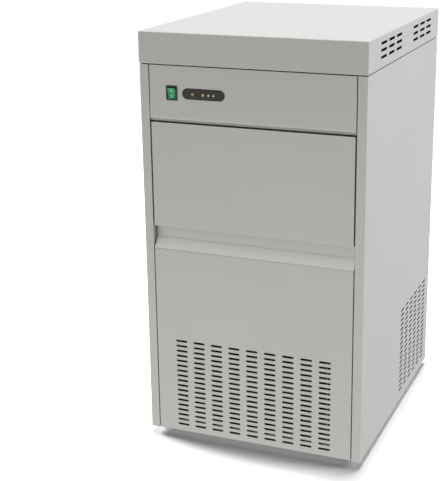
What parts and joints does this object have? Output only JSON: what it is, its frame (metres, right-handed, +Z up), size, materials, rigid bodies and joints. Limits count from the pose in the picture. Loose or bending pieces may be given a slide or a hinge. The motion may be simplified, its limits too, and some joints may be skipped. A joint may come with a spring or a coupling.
{
  "type": "flake ice machine",
  "caption": "Upright stainless flake ice machine with a top-hinged bin door over a finger recess, a control panel with rocker switch, vent grilles and an auger evaporator behind the bin.",
  "frame": {"origin": "on the floor, under the middle of the overall width and depth", "axes": "+Z up, the front with the door and controls faces -Y, +X to the right seen from the front"},
  "size_m": [0.502, 0.6296, 0.925],
  "materials": {
    "stainless_sheet": "satin",
    "galvanised_sheet": "satin",
    "stainless_bar": "satin",
    "white_plastic": "satin",
    "grey_plastic": "matte",
    "black_plastic": "satin",
    "green_plastic": "gloss",
    "amber_lens": "gloss",
    "foam": "matte",
    "dark_foam": "matte",
    "black_rubber": "matte",
    "grey_rubber": "matte",
    "hose": "satin",
    "copper": "satin",
    "aluminium": "satin",
    "black_enamel": "gloss",
    "cast_alloy": "matte"
  },
  "bodies": {
    "cabinet": {"base_pan": "galvanised_sheet", "left_side_panel": "stainless_sheet", "right_side_panel": "stainless_sheet", "rear_panel": "stainless_sheet", "top_cover": "stainless_sheet", "cover_seal": "dark_foam", "control_panel": "stainless_sheet", "lower_front_panel": "stainless_sheet", "rubber_feet": "black_rubber", "panel_screws": "stainless_bar", "bin_front_frame": "stainless_sheet", "hinge_pins": "stainless_bar", "bin_liner": "white_plastic", "bin_insulation": "foam", "deck": "galvanised_sheet", "bin_drain_fitting": "white_plastic", "drain_hose": "hose", "drain_outlet": "grey_plastic", "bin_probe_tube": "stainless_bar", "cable_gland": "black_plastic", "gearbox": "cast_alloy", "drive_motor": "black_enamel", "barrel_adapter": "cast_alloy", "evaporator_barrel": "stainless_bar", "evaporator_coil": "copper", "evaporator_jacket": "dark_foam", "extruder_head": "stainless_bar", "spout_housing": "white_plastic", "ice_chute": "white_plastic", "float_tank": "white_plastic", "tank_lid": "white_plastic", "tank_bracket": "galvanised_sheet", "float_valve": "grey_plastic", "feed_hose": "hose", "inlet_hose": "hose", "water_valve": "white_plastic", "compressor": "black_enamel", "compressor_mounts": "black_rubber", "condenser_fins": "aluminium", "condenser_coil": "copper", "fan_shroud": "galvanised_sheet", "fan_motor": "black_enamel", "filter_drier": "copper", "discharge_line": "copper", "liquid_line": "copper", "suction_line": "copper", "electrical_box": "galvanised_sheet", "switch_body": "black_plastic", "indicator_plate": "black_plastic", "indicator_lenses": "amber_lens"},
    "door": {"door_skin": "stainless_sheet", "door_core": "foam", "door_inner_panel": "white_plastic", "door_gasket": "grey_rubber"},
    "auger_drive": {"auger": "stainless_bar", "drive_coupling": "stainless_bar", "ice_breaker": "stainless_bar"},
    "fan": {"fan_blade": "aluminium"},
    "float": {"float_arm": "white_plastic"},
    "rocker": {"rocker": "green_plastic"}
  },
  "joints": [
    {"name": "door_hinge", "type": "hinge", "parent": "cabinet", "child": "door", "pos_m": [0, -0.30122, 0.717], "axis": [-1, 0, 0], "range_deg": [0, 100]},
    {"name": "auger_spin", "type": "hinge", "parent": "cabinet", "child": "auger_drive", "pos_m": [0, 0.20778, 0.615], "axis": [0, 0, 1], "continuous": true},
    {"name": "fan_spin", "type": "hinge", "parent": "cabinet", "child": "fan", "pos_m": [0, -0.21622, 0.1422], "axis": [0, 1, 0], "continuous": true},
    {"name": "float_swing", "type": "hinge", "parent": "cabinet", "child": "float", "pos_m": [-0.155, 0.23378, 0.699], "axis": [-1, 0, 0], "range_deg": [0, 20]},
    {"name": "rocker_tilt", "type": "hinge", "parent": "cabinet", "child": "rocker", "pos_m": [-0.176, -0.30722, 0.798], "axis": [-1, 0, 0], "range_deg": [0, 16]}
  ]
}
